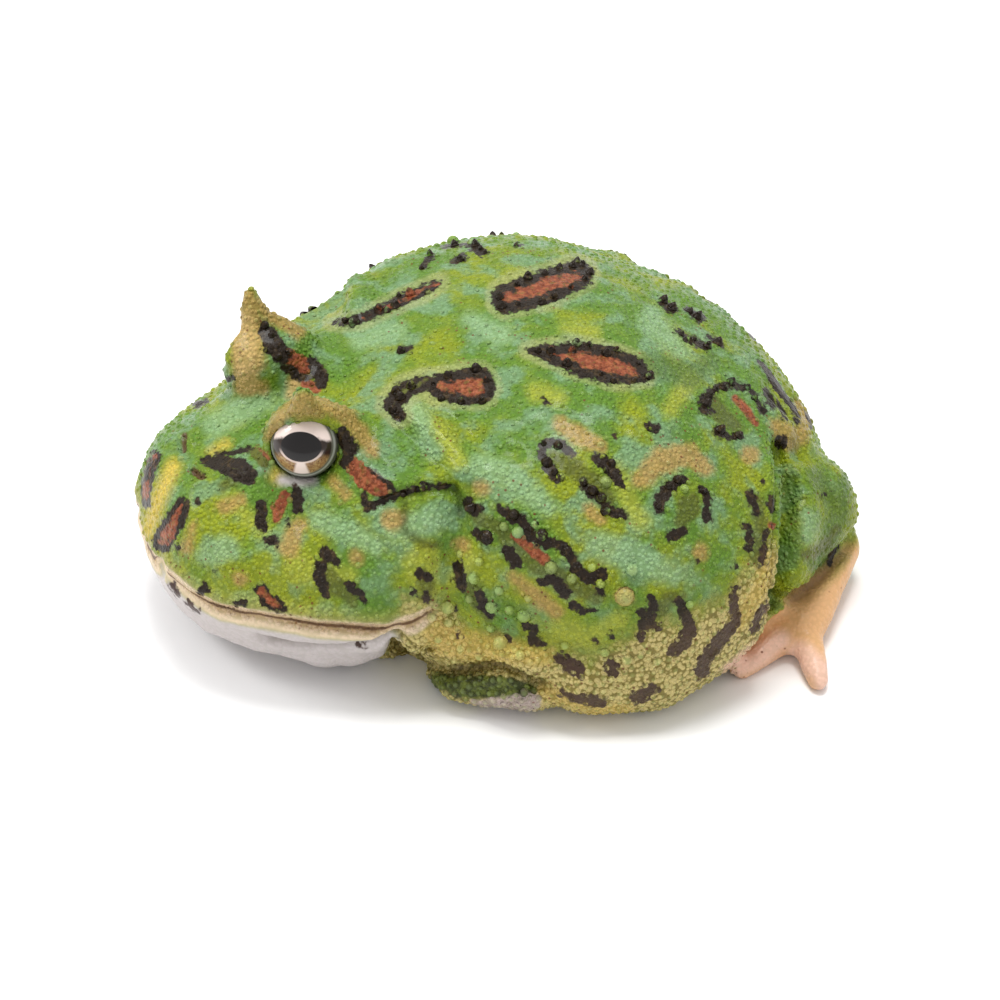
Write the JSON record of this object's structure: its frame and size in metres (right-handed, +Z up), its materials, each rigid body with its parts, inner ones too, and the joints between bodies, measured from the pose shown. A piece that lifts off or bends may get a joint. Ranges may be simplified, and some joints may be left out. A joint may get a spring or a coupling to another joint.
{
  "type": "cranwells horned frog",
  "caption": "Life-size crouching horned frog with a wide mouth, horned eyelids, domed eyes and short folded legs, resting flat on its belly.",
  "frame": {"origin": "on the floor, on the middle plane, under the middle of the belly", "axes": "head towards -Y, the frog's left side towards +X, +Z up"},
  "size_m": [0.0852, 0.0931, 0.041],
  "materials": {
    "skin_green": "moist, granular",
    "skin_pale": "moist, smooth",
    "skin_tan": "moist, granular",
    "skin_foot": "moist, smooth",
    "eyeball": "wet, glossy"
  },
  "bodies": {
    "root": {"head": "skin_green", "lower_jaw": "skin_pale", "torso": "skin_green", "eye_left": "eyeball", "eye_right": "eyeball", "eyelid_left": "skin_tan", "eyelid_right": "skin_tan", "upper_arm_left": "skin_green", "upper_arm_right": "skin_green", "forearm_left": "skin_green", "forearm_right": "skin_green", "hand_left": "skin_foot", "hand_right": "skin_foot", "thigh_left": "skin_green", "thigh_right": "skin_green", "shank_left": "skin_green", "shank_right": "skin_green", "foot_left": "skin_foot", "foot_right": "skin_foot"}
  },
  "joints": []
}
